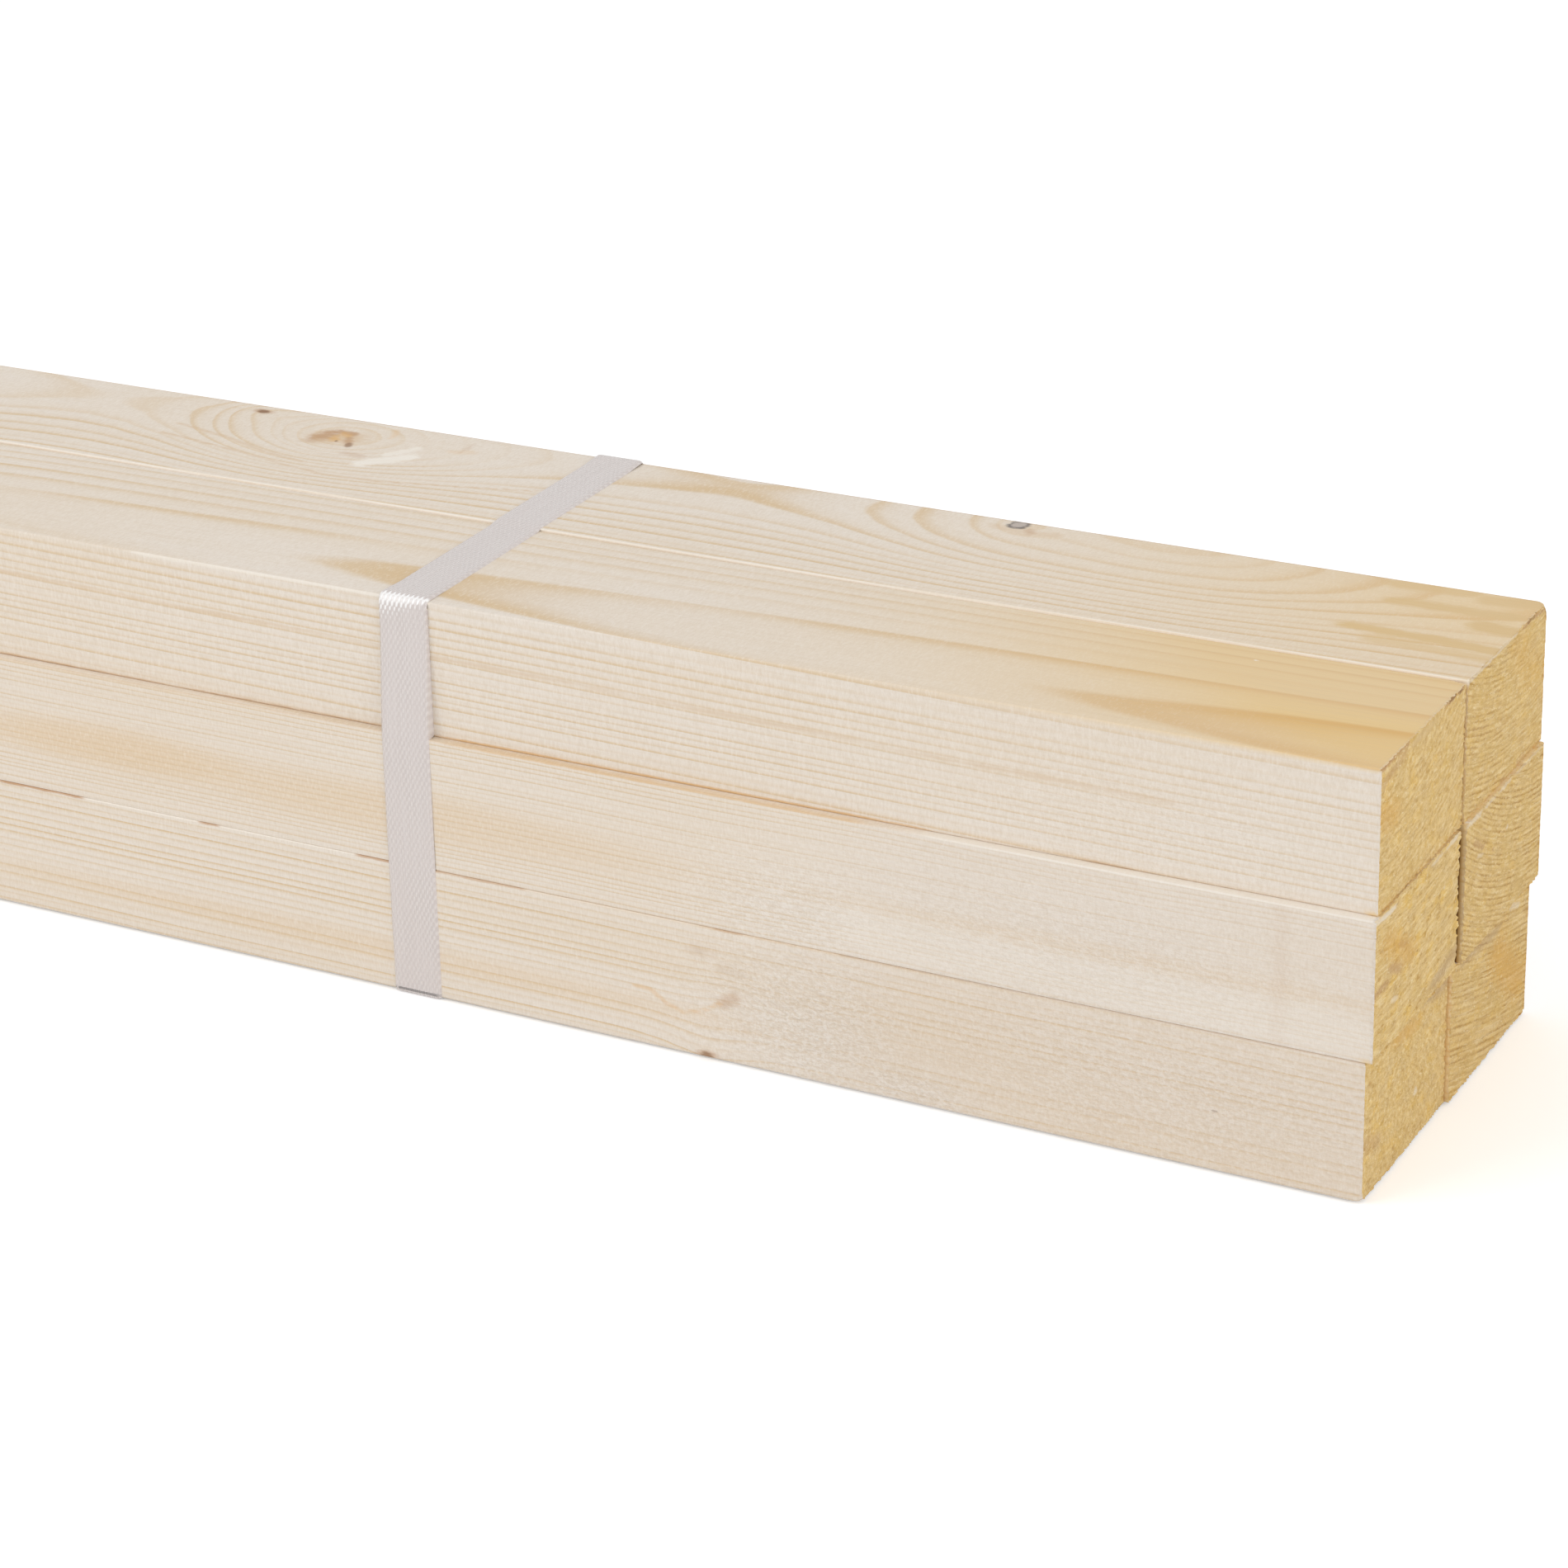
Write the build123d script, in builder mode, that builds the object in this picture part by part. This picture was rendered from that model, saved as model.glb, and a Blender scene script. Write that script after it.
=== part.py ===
"""A bundle of planed softwood battens, stacked three high in two columns and strapped near both ends.

Millimetres. +X runs along the battens, +Y from the front column to the back one, +Z up.
The origin is under the middle of the bundle, level with the underside of its straps.
"""

import os

from build123d import *

# Battens: planed stock with eased edges
batten_length = 2000.0
batten_width = 60.0
batten_height = 40.0
arris_radius = 0.5
back_column_extra_height = 0.2

# How far the front batten of a row stands out in front of the top one
middle_row_proud = 2.8
bottom_row_proud = 3.0

# Gap between the two battens of a row
top_row_gap = 0.8
middle_row_gap = 3.2
bottom_row_gap = 0.2

# How far a batten is pushed along the bundle, from the top front one
top_back_push = 0.4
middle_front_push = 0.7
middle_back_push = 1.4
bottom_front_push = -1.1
bottom_back_push = 0.1

# Straps: flat plastic band pulled tight, its ends lapped and welded on the back
strap_width = 15.5
strap_thickness = 0.7
strap_clearance = 0.05
strap_inset = 285.0
weld_lap_share = 0.8

# Sizes worked out from those above
back_height = batten_height + back_column_extra_height
top_back_front = batten_width + top_row_gap
middle_back_front = batten_width + middle_row_gap - middle_row_proud
bottom_back_front = batten_width + bottom_row_gap - bottom_row_proud
strap_standoff = strap_clearance + strap_thickness
strap_reach = batten_length / 2 - strap_inset

# Each batten: name, height, layer counted from the bottom, front face, push along the bundle
bottom, middle, top = range(3)
battens = [
    ("batten_bottom_front", batten_height, bottom, -bottom_row_proud, bottom_front_push),
    ("batten_bottom_back", back_height, bottom, bottom_back_front, bottom_back_push),
    ("batten_middle_front", batten_height, middle, -middle_row_proud, middle_front_push),
    ("batten_middle_back", back_height, middle, middle_back_front, middle_back_push),
    ("batten_top_front", batten_height, top, 0, 0),
    ("batten_top_back", back_height, top, top_back_front, top_back_push),
]

# Middle of the bundle's box, from the straps' front to the lap of their welds and from end to end
pushes = [push for _, _, _, _, push in battens]
fronts = [front for _, _, _, front, _ in battens]
front_limit = min(fronts) - strap_standoff
back_limit = max(fronts) + batten_width + strap_standoff + strap_thickness
middle_x = (max(pushes) + min(pushes)) / 2
middle_y = (front_limit + back_limit) / 2


def section_corner(height, layer, front):
    """Lower front corner of a batten's section, as (Y, Z)."""
    return front - middle_y, strap_standoff + layer * height


def arris_centres(height, layer, front):
    """Centres of the four rounded edges of a batten's section."""
    y, z = section_corner(height, layer, front)
    near, far = y + arris_radius, y + batten_width - arris_radius
    low, high = z + arris_radius, z + height - arris_radius
    return [(near, low), (far, low), (far, high), (near, high)]


def make_batten(name, height, layer, front, push):
    """One batten: its rounded section drawn at the left end and run along the bundle."""
    left_end = push - middle_x - batten_length / 2
    with BuildPart() as batten:
        with BuildSketch(Plane.YZ.offset(left_end)):
            with Locations(section_corner(height, layer, front)):
                RectangleRounded(batten_width, height, arris_radius, align=Align.MIN)
        extrude(amount=batten_length)
    batten.part.label = name
    return batten.part


def make_strap(name, strap_x, section):
    """One strap: the section of its closed band, as wide as the strap."""
    with BuildPart() as strap:
        with BuildSketch(Plane.YZ.offset(strap_x)):
            add(section)
        extrude(amount=strap_width / 2, both=True)
    strap.part.label = name
    return strap.part


# The shape that a tight band bends round: the hull of the uneven stack's rounded edges
with BuildSketch() as stack_hull:
    with BuildLine():
        Polyline(*[centre for _, *section, _ in battens for centre in arris_centres(*section)])
    make_hull()

# The second layer of band where its ends lap, down the back of the top layer
lap_length = weld_lap_share * back_height
lap_start = strap_standoff + top * back_height + (back_height - lap_length) / 2
with BuildSketch() as weld_lap:
    offset(stack_hull.sketch, amount=arris_radius + strap_standoff + strap_thickness, kind=Kind.ARC)
    with Locations((top_back_front - middle_y, lap_start)):
        Rectangle(2 * batten_width, lap_length, align=Align.MIN, mode=Mode.INTERSECT)

with BuildSketch() as band:
    offset(stack_hull.sketch, amount=arris_radius + strap_standoff, kind=Kind.ARC)
    add(weld_lap.sketch)
    offset(stack_hull.sketch, amount=arris_radius + strap_clearance, kind=Kind.ARC, mode=Mode.SUBTRACT)

pieces = [make_batten(*batten) for batten in battens]
pieces.append(make_strap("strap_right", strap_reach - middle_x, band.sketch))
pieces.append(make_strap("strap_left", -strap_reach - middle_x, band.sketch))

os.makedirs("parts", exist_ok=True)
for piece in pieces:
    export_step(piece, f"parts/{piece.label}.step")
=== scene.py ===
"""Looks of a strapped bundle of planed softwood battens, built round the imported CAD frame.

Lengths are millimetres until a mesh is made. On a batten, u is the distance from its right end, v the
distance from its front face and w the height above its underside.
"""

import math

import bmesh
import bpy
import numpy as np
from mathutils import Matrix, Vector


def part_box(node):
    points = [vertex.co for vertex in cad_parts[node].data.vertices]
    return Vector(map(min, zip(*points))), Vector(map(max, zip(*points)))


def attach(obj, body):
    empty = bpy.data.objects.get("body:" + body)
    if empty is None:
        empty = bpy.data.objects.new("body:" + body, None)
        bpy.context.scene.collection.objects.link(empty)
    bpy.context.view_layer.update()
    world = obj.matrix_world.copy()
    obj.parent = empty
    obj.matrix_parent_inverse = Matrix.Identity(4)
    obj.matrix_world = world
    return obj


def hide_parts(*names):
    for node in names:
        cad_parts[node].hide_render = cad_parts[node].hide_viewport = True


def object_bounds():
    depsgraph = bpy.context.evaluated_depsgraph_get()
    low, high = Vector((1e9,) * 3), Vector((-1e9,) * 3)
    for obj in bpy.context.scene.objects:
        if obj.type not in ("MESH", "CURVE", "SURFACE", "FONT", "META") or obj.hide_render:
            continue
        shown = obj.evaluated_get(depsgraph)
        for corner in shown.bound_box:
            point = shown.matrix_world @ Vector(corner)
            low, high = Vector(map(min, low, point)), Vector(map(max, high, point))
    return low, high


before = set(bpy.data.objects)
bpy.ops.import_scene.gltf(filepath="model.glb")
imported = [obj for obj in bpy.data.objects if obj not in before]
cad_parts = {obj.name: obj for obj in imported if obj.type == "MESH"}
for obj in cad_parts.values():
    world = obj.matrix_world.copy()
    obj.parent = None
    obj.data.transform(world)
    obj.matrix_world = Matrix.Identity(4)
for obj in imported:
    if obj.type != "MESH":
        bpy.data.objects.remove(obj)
cad_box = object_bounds()

MM = 0.001
SEED = 41
TOUCH = 0.01

# A batten's mesh: edge radius, faces across, upright and round an edge, cuts of the end's edges, sharp angle
ARRIS = 0.35
ACROSS, UPRIGHT, CORNER = 44, 30, 4
END_CUTS = 1
BATTEN_SHARP = math.radians(50)

# Spacing of a batten's sections: at both ends, along the part that the photo shows, along the rest, towards
# the left end, and round marks that are strong and short
END_RUN, END_STEP = 5, 1.0
NEAR_REACH, NEAR_STEP = 430.0, 3.0
FAR_STEP = 16.0
LEFT_RUN, LEFT_STEP = 60, 6.0
BUSY_AMOUNT, BUSY_RUN, BUSY_MARGIN, BUSY_STEP = 0.3, 50.0, 6, 0.9
CLOSEST = 0.7

# Seeded waves: how many are summed, and the spread of their lengths and sizes
WAVES, WAVE_LENGTHS, WAVE_SIZES = 4, (0.6, 1.6), (0.3, 0.7)

# Rings: spread of their widths, width and spread of the inner ones, room past the last, and how far apart
# the battens' ring numbers are
RING_SPREAD = (0.7, 1.3)
INNER_RING, INNER_SPREAD = 1.5, (0.8, 1.2)
RING_MARGIN = 5
RINGS_APART = 200.0

# How the log wavers past the part that the photo shows, and how the rings waver and sway
FAR_FADE = 150
PITH_SWING, PITH_WAVE = 4.0, 700
RING_SWING, RING_WAVE = 2.2, 330
WOBBLE_WAVE = 120
SWAY_ROWS, SWAY_SMOOTH = 1000, 9
NO_SWAY, NO_TILT = ((0, 0.0), (1, 0.0)), (1.0, 0.0)
ROUND_SCALE = 60


def linear(red, green, blue):
    """A colour written as sRGB bytes, as a linear RGBA value."""
    shares = [c / 255 for c in (red, green, blue)]
    return (*[s / 12.92 if s <= 0.04045 else ((s + 0.055) / 1.055) ** 2.4 for s in shares], 1.0)


def step(x, low, high):
    """0 below low, 1 above high, smooth between. Low may be the larger."""
    t = np.clip((x - low) / (high - low), 0, 1)
    return t * t * (3 - 2 * t)


def wander(u, wave, draw):
    """A smooth seeded wave of about that length and of size 1."""
    total = 0
    for _ in range(WAVES):
        length = wave * draw.uniform(*WAVE_LENGTHS)
        total = total + draw.uniform(*WAVE_SIZES) * np.sin(2 * math.pi * (u / length + draw.uniform()))
    return total


def add_object(name, data):
    made = bpy.data.objects.new(name, data)
    bpy.context.scene.collection.objects.link(made)
    return made


class Graph:
    """The nodes of a material or world, made by short calls that take sockets or plain values."""

    def __init__(self, owner):
        self.owner = owner
        owner.use_nodes = True
        self.tree = owner.node_tree
        self.tree.nodes.clear()

    def node(self, kind, inputs=(), **settings):
        made = self.tree.nodes.new("ShaderNode" + kind)
        for key, value in settings.items():
            setattr(made, key, value)
        for key, value in dict(inputs).items():
            if isinstance(value, bpy.types.NodeSocket):
                self.tree.links.new(value, made.inputs[key])
            else:
                made.inputs[key].default_value = value
        return made

    def math(self, operation, *values, clamp=False):
        made = self.node("Math", enumerate(values), operation=operation, use_clamp=clamp)
        return made.outputs[0]

    def spread(self, value, low, high, to_low=0.0, to_high=1.0):
        """Takes low to high smoothly to to_low to to_high. Low may be the larger."""
        inputs = enumerate([value, low, high, to_low, to_high])
        return self.node("MapRange", inputs, interpolation_type="SMOOTHSTEP").outputs[0]

    def field(self, name):
        """A value stored on the mesh's points."""
        return self.node("Attribute", attribute_name=name).outputs["Fac"]

    def place(self):
        """The point on the piece, in millimetres."""
        inputs = {0: self.node("TexCoord").outputs["Object"], "Scale": 1 / MM}
        return self.node("VectorMath", inputs, operation="SCALE").outputs[0]

    def noise(self, vector, cells, detail, roughness=0.5, shift=(0.0, 0.0, 0.0)):
        """Fractal noise with that many cells per millimetre along X, Y and Z."""
        inputs = {"Vector": vector, "Scale": cells, "Location": shift}
        scaled = self.node("Mapping", inputs).outputs[0]
        inputs = {"Vector": scaled, "Scale": 1.0, "Detail": detail, "Roughness": roughness}
        return self.node("TexNoise", inputs).outputs["Fac"]

    def ramp(self, value, stops):
        """A value read off straight lines between stops, each a position and its value."""
        made = self.node("ValToRGB", {0: value})
        line = made.color_ramp
        while len(line.elements) < len(stops):
            line.elements.new(0.5)
        for element, (position, shade) in zip(line.elements, stops):
            element.position = position
            element.color = (shade, shade, shade, 1.0)
        return made.outputs[0]

    def each_ring(self, rings, low, high):
        """A random value of its own for each ring, from low to high."""
        inputs = {"W": self.math("FLOOR", rings)}
        year = self.node("TexWhiteNoise", inputs, noise_dimensions="1D").outputs[0]
        return self.spread(year, 0.0, 1.0, low, high)

    def mix(self, share, a, b):
        return self.node("Mix", {0: share, 6: a, 7: b}, data_type="RGBA").outputs[2]

    def over(self, colour, shade, most, value, low, high, where=None):
        """Lays a shade over a colour as a value goes from low to high, up to a share of most."""
        share = self.spread(value, low, high, 0.0, most)
        if where is not None:
            share = self.math("MULTIPLY", where, share)
        return self.mix(share, colour, linear(*shade))

    def bump(self, height, distance, **under):
        inputs = {"Height": height, "Distance": distance * MM, "Strength": 1.0, **under}
        return self.node("Bump", inputs).outputs[0]

    def surface(self, **inputs):
        named = {key.replace("_", " "): value for key, value in inputs.items()}
        shader = self.node("BsdfPrincipled", named)
        self.node("OutputMaterial", {"Surface": shader.outputs[0]})
        return self.owner


# How each batten was sawn from its log: pith is the log's middle in the section, drift its shift per mm of u,
# slope the rings' climb per mm of u, ring the usual ring width, wobble how much the rings waver, first the
# radii that the photo fixes, sway the rings' lift at some u, sway_tilt its share at v = 0 and growth with v,
# and knots their u, v, w, lift, reach along u and reach across. golden is how golden the top is, lines and
# torn how clear and how torn the sawn ends' rings are, and worn a worn corner's side, height and reach.
BATTENS = {
    "batten_top_front": {
        "pith": (14.0, 105.0), "drift": 0.015, "slope": 0.0155, "ring": 2.2, "wobble": 0.05,
        "golden": 1.47, "lines": 0.45, "torn": 0.55,
        "first": (66.4, 70.0, 73.1, 75.8, 78.5, 81.0, 83.3, 85.5, 87.7, 89.9, 91.9, 93.8, 95.6, 97.6, 99.5),
    },
    "batten_top_back": {
        "pith": (65.0, 150.0), "ring": 1.55, "wobble": 0.08,
        "golden": 0.73, "worn": (1, 1, 4.2),
        "first": (109.0, 110.6, 111.5, 113.1, 115.1, 116.3, 117.8, 119.4, 120.6, 121.9, 123.5, 125.2, 126.8),
        "sway": ((0, 3.3), (30, 2.7), (55, 1.8), (66, 1.2), (79, 0.6), (90, 0.25), (112, 0.0), (130, 0.2),
                 (150, 0.55), (166, 1.2), (184, 2.1), (200, 2.75), (215, 3.1), (240, 3.4), (280, 3.1),
                 (320, 3.2), (378, 3.3), (430, 4.4)),
        "sway_tilt": (0.3, 0.035),
        "knots": ((374, 44.5, 40, 10.0, 32, 21), (376, 44.5, 40, 3.0, 9, 8), (412, 55, 40, 2.0, 8, 6),
                  (154.6, 56, 40, 1.4, 7, 6)),
    },
    "batten_middle_front": {
        "pith": (20.0, 190.0), "slope": 0.004, "ring": 1.6, "wobble": 0.25, "lines": 0.15, "torn": 1.0,
    },
    "batten_middle_back": {"pith": (75.0, 145.0), "slope": 0.003, "ring": 1.5, "wobble": 0.3},
    "batten_bottom_front": {
        "pith": (5.0, -22.0), "slope": -0.006, "ring": 2.2, "wobble": 0.2,
        "lines": 0.25, "torn": 0.7, "worn": (0, 0, 3.0),
        "knots": ((191, 0, 1, -3.0, 10, 8), (185, 0, 19, 1.2, 7, 6)),
    },
    "batten_bottom_back": {"pith": (140.0, 420.0), "slope": 0.004, "ring": 1.75, "wobble": 0.3},
}

# Marks: the kind, its half widths along the face's two coordinates, how strong it is and the points that it
# follows, (u, v) on the top and underside, (u, w) on the front and (v, w) on the right end
MARKS = {}
MARKS["batten_top_front", "top"] = [
    ("dark", 0.9, 0.7, 0.45, (307, 32)),
    ("pale", 1.1, 0.7, 0.9, (55, 53)),
]
MARKS["batten_top_front", "front"] = [
    ("dark", 0.8, 0.6, 0.4, (331, 27)),
    ("brown", 4, 0.8, 0.5, (430, 0), (372, 0)),
    ("brown", 4, 0.7, 0.4, (358, 0), (300, 0)),
    # Painted warm shade along the bottom edge, over the middle front batten's ledge
    ("amber", 5, 0.8, 0.4, (266, 0), (135, 0)),
    ("tan", 6, 0.9, 0.7, (440, 0), (140, 0)),
    ("tan", 6, 0.7, 0.3, (126, 0), (0, 0)),
    ("brown", 3, 0.7, 0.4, (78, 0), (68, 0)),
    ("tan", 14, 1, 0.45, (440, 26.7), (330, 25), (230, 23.5), (116, 21.7), (60, 20.8)),
    # Painted highlight along the top front edge
    ("pale", 8, 0.8, 0.55, (372, 39.7), (292, 39.7)),
]
MARKS["batten_top_front", "under"] = [
    # Painted warm shade on the underside's front strip, over the ledge below
    ("amber", 8, 3.5, 0.5, (270, 0), (130, 0)),
]
MARKS["batten_top_front", "end"] = [
    ("brown", 3, 0.9, 0.9, (1, 39.4), (9, 39.5)),
    ("brown", 2, 0.8, 0.7, (13, 39.5), (19, 39.4)),
    ("dark", 1.4, 0.7, 0.5, (49, 39.6), (52, 39.6)),
    ("brown", 2, 0.9, 0.8, (46, 39.5), (52, 39.4)),
    ("brown", 2, 0.8, 0.8, (55, 39.4), (58, 39.5)),
    ("dark", 1.2, 0.8, 0.5, (55.5, 39.5), (57, 39.5)),
    ("brown", 4, 2.2, 0.35, (2, 35), (16, 37.5)),
    ("amber", 7, 6, 0.4, (1, 27), (10, 24)),
    ("gilt", 5, 1.6, 0.6, (24, 38), (34, 38)),
]
MARKS["batten_top_back", "top"] = [
    ("tan", 8, 8, 0.7, (381, 42.5), (373, 44)),
    ("brown", 4, 5.6, 0.75, (383.2, 41.8), (380.5, 44.5)),
    ("brown", 2.4, 2.6, 0.85, (382.5, 46.5), (379, 48.4), (374, 48)),
    ("brown", 1.8, 2.6, 0.7, (373.5, 44.5), (371.5, 41.5), (370, 39.5)),
    ("amber", 2.4, 2.8, 0.55, (378, 43.4), (376.6, 41.6)),
    ("amber", 2, 2.2, 0.5, (377.4, 47.6), (374.8, 46.2)),
    ("dark", 0.8, 1, 0.65, (375.5, 40.7)),
    ("dark", 1.4, 1.7, 0.5, (370.4, 39.8), (369.6, 38.6)),
    ("brown", 4.6, 2.8, 0.85, (412, 55)),
    ("dark", 2.4, 1.8, 0.7, (412, 55)),
    ("grey", 3, 3.7, 0.97, (155.6, 57), (154, 57.4)),
    ("stone", 1.9, 2.3, 0.9, (155.6, 57.2), (154, 57.6)),
    ("brown", 2.2, 2.8, 0.4, (150.5, 54), (149, 53)),
    ("tan", 4, 3, 0.4, (160, 54), (150, 52), (142, 54)),
    # Painted sheen: two pale streaks beside the knot
    ("pale", 4, 3.2, 0.75, (357.5, 26.5), (351, 33), (346.5, 37.5)),
    ("pale", 2.3, 2, 0.65, (354.5, 36), (351.5, 40.5), (349, 44.5)),
    ("amber", 1.6, 2, 0.25, (364, 56), (362, 53), (361.5, 50)),
    ("amber", 3.5, 2.5, 0.2, (337, 46), (332, 48)),
    ("brown", 3.2, 2.4, 0.28, (366, 32.5), (361, 32)),
    ("brown", 1.6, 1.6, 0.2, (336, 56), (334, 46)),
    ("tan", 1.5, 1, 0.6, (430, 26.6), (400, 21.5), (380, 17), (362, 14), (345, 15), (320, 20.5),
     (295, 27)),
    ("tan", 1.7, 1.2, 0.5, (430, 35.5), (408, 30.5), (390, 24), (375, 21)),
    ("gilt", 6, 3.6, 1, (42, 24), (20, 23), (-4, 20.5)),
    ("gilt", 9, 3.6, 0.6, (30, 17), (-4, 15)),
    ("gilt", 5, 4.6, 1, (10, 37), (-4, 35)),
    ("gilt", 6, 3.6, 0.9, (36, 45), (6, 46)),
    ("gilt", 6, 4.4, 0.8, (40, 57), (22, 58)),
    ("gilt", 6, 4, 0.8, (14, 55), (0, 57)),
    ("dun", 6, 0.9, 0.6, (440, 60), (0, 60)),
]
MARKS["batten_top_back", "front"] = [
    # Painted highlight on the strip of this front that stands above the top front batten
    ("pale", 5, 1.4, 0.6, (2000, 39.9), (0, 39.9)),
]
MARKS["batten_top_back", "end"] = [
    ("brown", 2, 0.9, 0.8, (42, 39.4), (47, 39.3)),
    ("brown", 2, 0.9, 0.7, (51, 39.2), (58, 38.6)),
    ("dark", 1.4, 0.7, 0.4, (46, 39.6), (50, 39.5)),
    ("pale", 3, 0.7, 0.4, (2, 39.5), (36, 39.6)),
    ("brown", 1.6, 0.8, 0.5, (47, 0.6), (42, 0.6)),
    ("brown", 1.6, 0.7, 0.5, (31, 0.6), (28, 0.6)),
    ("amber", 10, 9, 0.2, (54, 22), (40, 34)),
]
MARKS["batten_middle_front", "top"] = [
    ("amber", 12, 1.8, 0.3, (265, 0.6), (150, 0.6)),
    ("pale", 14, 3, 0.5, (120, 0.6), (0, 0.6)),
]
MARKS["batten_middle_front", "front"] = [
    ("pale", 2.6, 2.2, 0.35, (37, 7), (31, 7)),
    ("pale", 20, 9, 0.2, (140, 8), (12, 7)),
    ("brown", 3.5, 3.5, 0.08, (26, 0), (25, 40)),
    ("tan", 6, 0.7, 0.3, (282, 0), (150, 0)),
    ("tan", 6, 0.7, 0.4, (440, 40), (150, 40)),
    # Painted light along the seam with the bottom front batten, lifting the groove's shade where the seam
    # hardly shows
    ("pale", 6, 0.6, 0.4, (2000, 0), (436, 0)),
    ("pale", 4, 0.6, 0.4, (398, 0), (362, 0)),
    ("pale", 4, 0.6, 0.4, (349, 0), (307, 0)),
    ("pale", 4, 0.6, 0.3, (176, 0), (154, 0)),
    # Painted shade: the front darkens slightly towards the right end
    ("dun", 60, 40, 0.07, (110, 20), (-10, 20)),
]
MARKS["batten_middle_front", "end"] = [
    ("brown", 3.5, 1.8, 0.6, (12, 22), (18, 19)),
    ("brown", 4, 1.4, 0.6, (2, 19), (8, 19)),
    ("brown", 2.5, 1.2, 0.5, (18, 26), (22, 24)),
    ("amber", 8, 5, 0.4, (10, 30), (26, 20)),
    ("pale", 4, 1, 0.55, (2, 38.8), (12, 38.2)),
    ("pale", 1.2, 0.6, 0.4, (50, 28)),
    ("pale", 2.4, 0.8, 0.3, (14, 12), (17, 11)),
    ("dun", 7, 3, 0.5, (44, 3), (58, 5)),
    ("pale", 3, 0.9, 0.4, (58, 39), (52, 38.6)),
    ("pale", 3, 0.7, 0.3, (46, 38.6), (42, 38.4)),
]
MARKS["batten_middle_back", "end"] = [
    ("pale", 3, 1, 0.4, (2, 39.3), (10, 39)),
    ("pale", 3, 0.8, 0.3, (16, 39.2), (20, 39.1)),
    ("pale", 3, 0.8, 0.3, (27, 39.2), (33, 39.3)),
    ("pale", 5, 0.7, 0.2, (41, 39.2), (56, 39.3)),
    ("brown", 2.4, 1, 0.5, (7, 32), (14, 28)),
    ("brown", 1.2, 0.9, 0.6, (22, 24)),
    ("pale", 1.6, 0.7, 0.4, (33, 26)),
    ("pale", 1.6, 0.7, 0.25, (10, 27), (13, 26)),
]
MARKS["batten_bottom_front", "front"] = [
    ("brown", 4.2, 2.2, 0.8, (192, 0.8)),
    ("dark", 2.2, 1.2, 0.5, (192, 0.8)),
    ("brown", 3.2, 2.8, 0.42, (186, 18), (182.5, 20)),
    ("brown", 1.4, 1.2, 0.5, (184, 19)),
    ("amber", 1.4, 0.9, 0.34, (214, 17.5), (209, 17.2), (204, 14), (199, 12.5), (192, 14.5), (187, 17.6)),
    ("brown", 4, 2.4, 0.12, (195, 32), (189, 32.5)),
    ("dark", 1, 0.6, 0.4, (41, 17.4)),
    ("brown", 3, 0.8, 0.9, (432, 40), (402, 40)),
    ("brown", 2, 0.7, 0.8, (358, 40), (353, 40)),
    ("brown", 3, 0.7, 0.8, (303, 40), (294, 40)),
    ("brown", 3, 0.7, 0.5, (282, 40), (250, 40)),
    ("brown", 2, 0.5, 0.5, (187, 40), (180, 40)),
    ("dun", 3, 0.6, 0.5, (150, 40), (0, 40)),
    ("tan", 6, 0.7, 0.3, (282, 40), (150, 40)),
    # Painted light along the seam with the middle front batten, lifting the groove's shade where the seam
    # hardly shows
    ("pale", 6, 0.6, 0.4, (2000, 40), (436, 40)),
    ("pale", 4, 0.6, 0.4, (398, 40), (362, 40)),
    ("pale", 4, 0.6, 0.4, (349, 40), (307, 40)),
    ("pale", 4, 0.6, 0.3, (246, 40), (196, 40)),
    # Painted shade: the front darkens slightly towards the right end
    ("dun", 70, 40, 0.12, (130, 20), (-10, 20)),
    ("dun", 3, 3, 0.2, (186, 28.5), (180, 28)),
    ("dun", 3, 2.4, 0.2, (193, 32)),
]
MARKS["batten_bottom_front", "end"] = [
    ("dun", 6, 2.6, 0.5, (40, 38.5), (58, 36)),
    ("brown", 5, 3, 0.35, (2, 16), (10, 13)),
    ("pale", 1.8, 1.4, 0.4, (38, 14)),
    ("amber", 8, 3, 0.4, (26, 36), (36, 34)),
]
MARKS["batten_bottom_back", "end"] = [
    ("dun", 8, 2.2, 0.4, (10, 38), (34, 36)),
    ("pale", 2, 1.2, 0.3, (46, 38), (52, 36)),
    ("amber", 10, 8, 0.5, (36, 28), (54, 12)),
]

# Colours of the marks as sRGB bytes. A mark ends at MARK_EDGE half widths and is full at its CRISP share.
# Besides the wood's own colours, pale also lays painted highlights, sheen and light in seams, dun painted
# shade at the fronts' right ends, and amber painted warm shade under the top front batten
SHADES = {
    "tan": (214, 184, 146), "brown": (190, 148, 108), "amber": (222, 170, 86), "dark": (116, 78, 48),
    "grey": (92, 86, 84), "stone": (196, 184, 174), "dun": (186, 158, 128), "pale": (245, 239, 229),
    "gilt": (220, 190, 140),
}
CRISP = {"gilt": 0.35, "dark": 0.5, "grey": 0.5, "stone": 0.5, "pale": 0.35}
SOFT, MARK_EDGE, NOWHERE = 0.1, 1.1, 6.0

# Early and late wood when fresh, aged and sawn across, the tint, and the shadow in the gap and deep down
FRESH, AGED = ((232, 222, 210), (215, 185, 139)), ((231, 200, 143), (220, 177, 109))
SAWN = ((230, 198, 136), (182, 138, 74))
TINT = (223, 192, 148)
DUSK, DEEP = (222, 166, 80), (128, 86, 38)

# How late the wood is across one ring, on the planed faces and on the sawn ends
FACE_RING = ((0.0, 0.5), (0.05, 0.06), (0.3, 0.0), (0.65, 0.22), (0.9, 1.0), (0.97, 0.9), (1.0, 0.5))
END_RING = ((0.0, 0.5), (0.08, 0.12), (0.5, 0.0), (0.76, 0.7), (0.9, 1.0), (1.0, 0.5))

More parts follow.
